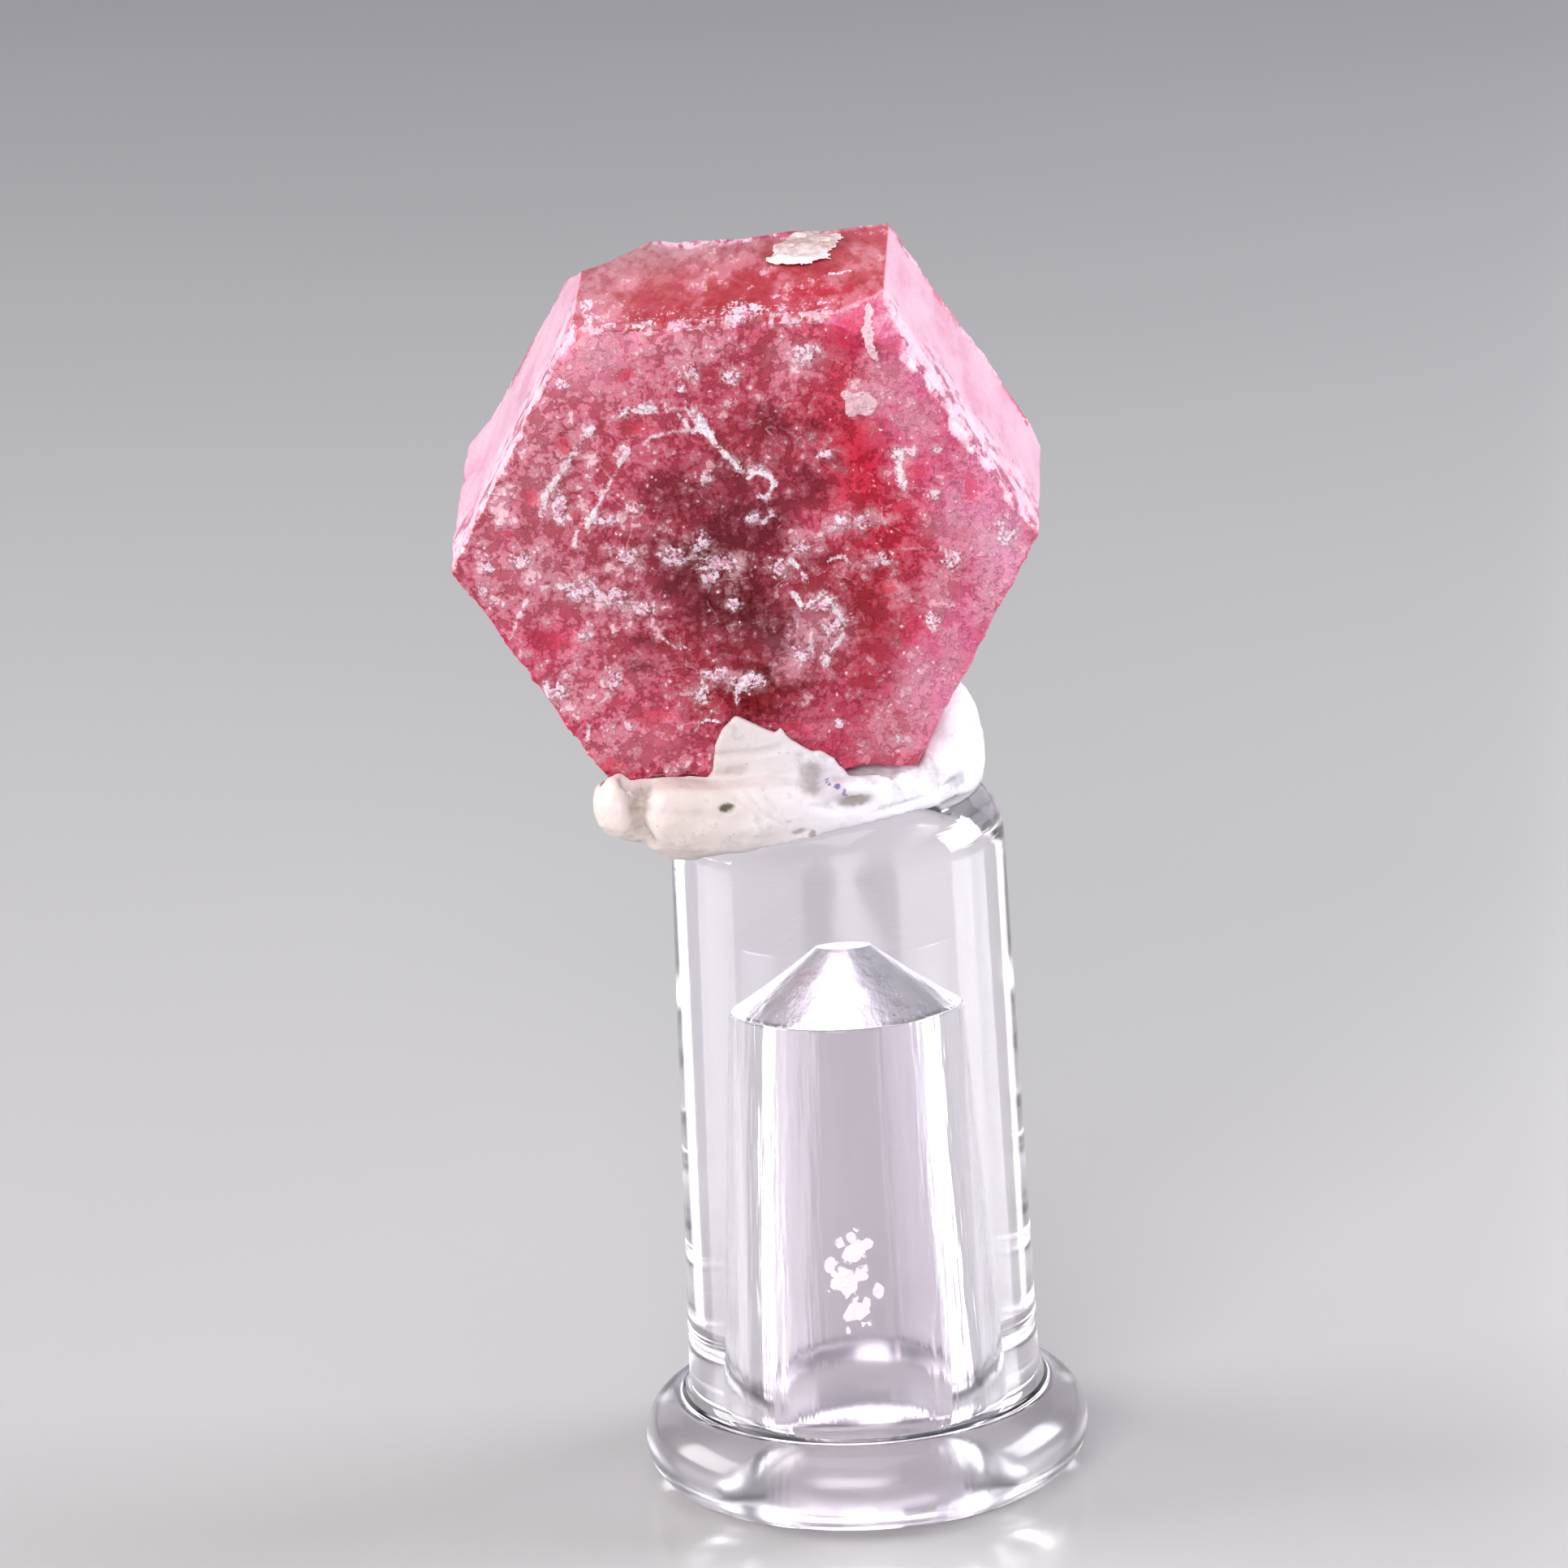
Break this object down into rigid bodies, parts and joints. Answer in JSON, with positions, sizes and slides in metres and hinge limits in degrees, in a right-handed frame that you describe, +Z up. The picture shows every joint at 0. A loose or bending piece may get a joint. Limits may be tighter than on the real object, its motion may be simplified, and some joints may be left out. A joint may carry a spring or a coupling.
{
  "type": "red beryl crystal on a clear stand",
  "caption": "Short hexagonal prism of pink-red beryl, lying end-on in a bed of white putty on a small clear turned stand.",
  "frame": {"origin": "on the surface that the stand rests on, under the middle of the whole object's box", "axes": "+Z up along the stand's axis, -Y the way the crystal's end face looks, +X to the right seen from that side"},
  "size_m": [0.0104, 0.0079, 0.0224],
  "materials": {
    "beryl": "translucent, granular on the end face and satin on the sides",
    "rock_crust": "rough",
    "putty": "matt",
    "clear_stand": "clear, polished"
  },
  "bodies": {
    "root": {"crystal": "beryl", "matrix_crust": "rock_crust", "putty": "putty", "stand": "clear_stand"}
  },
  "joints": []
}
